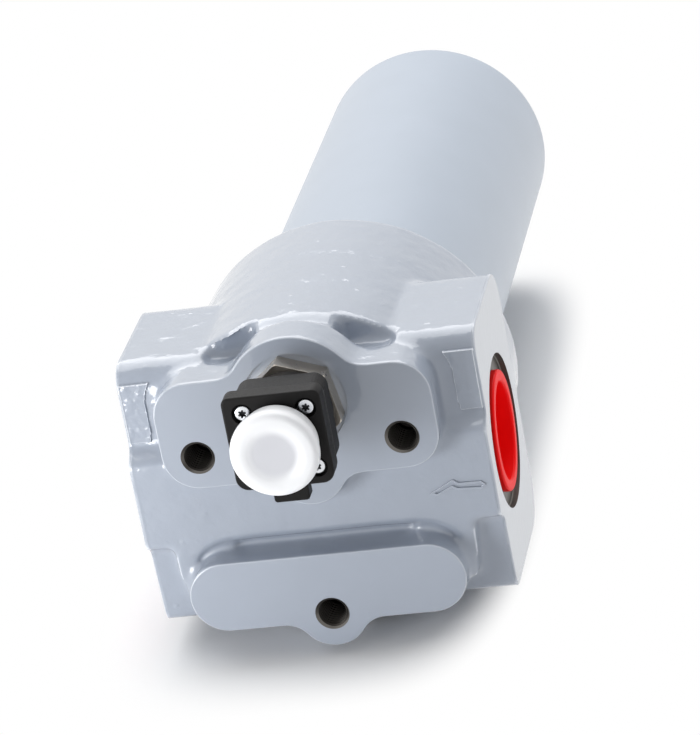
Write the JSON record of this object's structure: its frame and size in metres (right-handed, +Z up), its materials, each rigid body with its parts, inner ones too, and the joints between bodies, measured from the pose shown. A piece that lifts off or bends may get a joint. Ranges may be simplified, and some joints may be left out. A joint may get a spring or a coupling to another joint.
{
  "type": "high pressure hydraulic filter",
  "caption": "In-line high pressure hydraulic filter: cast head with side ports and mounting bosses on top, long screwed bowl, pressure indicator and port plugs.",
  "frame": {"origin": "where the bowl's axis meets the plane of the mounting bosses on top of the head", "axes": "+Z up along the bowl's axis and out of the mounting face, +X out of the inlet port, +Y to the indicator's side"},
  "size_m": [0.1348, 0.1275, 0.4082],
  "materials": {
    "blue_grey_enamel": "thick gloss enamel over a casting",
    "blue_grey_enamel_bowl": "satin enamel over drawn steel",
    "nitrile_rubber": "moulded",
    "ivory_plastic": "turned",
    "zinc_plated_steel": "bright zinc",
    "filter_fleece": "pleated fleece",
    "turned_brass": "turned",
    "turned_steel": "turned, lightly oiled",
    "spring_steel": "drawn wire",
    "magnet": "sintered",
    "switch_glass": "drawn tube",
    "black_polyamide": "moulded, fine grain",
    "contact_brass": "gold flashed",
    "white_polyethylene": "translucent, moulded",
    "red_polyethylene": "moulded"
  },
  "bodies": {
    "head": {"head_casting": "blue_grey_enamel", "element_top_cap": "zinc_plated_steel", "element_pleats": "filter_fleece", "element_core_tube": "zinc_plated_steel", "element_bottom_cap": "zinc_plated_steel", "element_o_ring": "nitrile_rubber", "bypass_seat": "turned_brass", "bypass_spring": "spring_steel", "indicator_body": "turned_steel", "indicator_seal": "nitrile_rubber", "indicator_spring": "spring_steel", "indicator_snap_ring": "spring_steel", "reed_switch": "switch_glass", "switch_housing": "black_polyamide", "housing_gasket": "nitrile_rubber", "connector_flange": "black_polyamide", "connector_insert": "black_polyamide", "connector_pins": "contact_brass", "flange_screws": "zinc_plated_steel"},
    "bowl_seals": {"bowl_o_ring": "nitrile_rubber", "bowl_backup_ring": "ivory_plastic"},
    "bowl": {"bowl": "blue_grey_enamel_bowl"},
    "bypass_valve": {"bypass_poppet": "turned_steel", "bypass_retainer": "turned_steel"},
    "pressure_piston": {"indicator_piston": "turned_brass", "indicator_magnet": "magnet"},
    "cap": {"protective_cap": "white_polyethylene"},
    "plug_in": {"inlet_plug": "red_polyethylene"},
    "plug_out": {"outlet_plug": "red_polyethylene"}
  },
  "joints": [
    {"name": "bowl_travel", "type": "slide", "parent": "head", "child": "bowl_seals", "axis": [0, 0, -1], "range_m": [0, 0.0241]},
    {"name": "bowl_turn", "type": "hinge", "parent": "bowl_seals", "child": "bowl", "pos_m": [0, 0, -0.1203], "axis": [0, 0, -1], "range_deg": [0, 2880]},
    {"name": "bypass_lift", "type": "slide", "parent": "head", "child": "bypass_valve", "axis": [0, 0, 1], "range_m": [0, 0.004], "stiffness_N_per_m": 9000, "springref_m": -0.006, "deforming": ["bypass_spring"]},
    {"name": "indicator_stroke", "type": "slide", "parent": "head", "child": "pressure_piston", "axis": [0, 0, 1], "range_m": [0, 0.0025], "stiffness_N_per_m": 3000, "springref_m": -0.004, "deforming": ["indicator_spring"]},
    {"name": "cap_pull", "type": "slide", "parent": "head", "child": "cap", "axis": [0, 0, 1], "range_m": [0, 0.02]},
    {"name": "inlet_plug_pull", "type": "slide", "parent": "head", "child": "plug_in", "axis": [1, 0, 0], "range_m": [0, 0.03]},
    {"name": "outlet_plug_pull", "type": "slide", "parent": "head", "child": "plug_out", "axis": [-1, 0, 0], "range_m": [0, 0.03]}
  ],
  "couplings": [
    {"joint": "bowl_travel", "follows": "bowl_turn", "m_per_rad": 0.00047746}
  ]
}
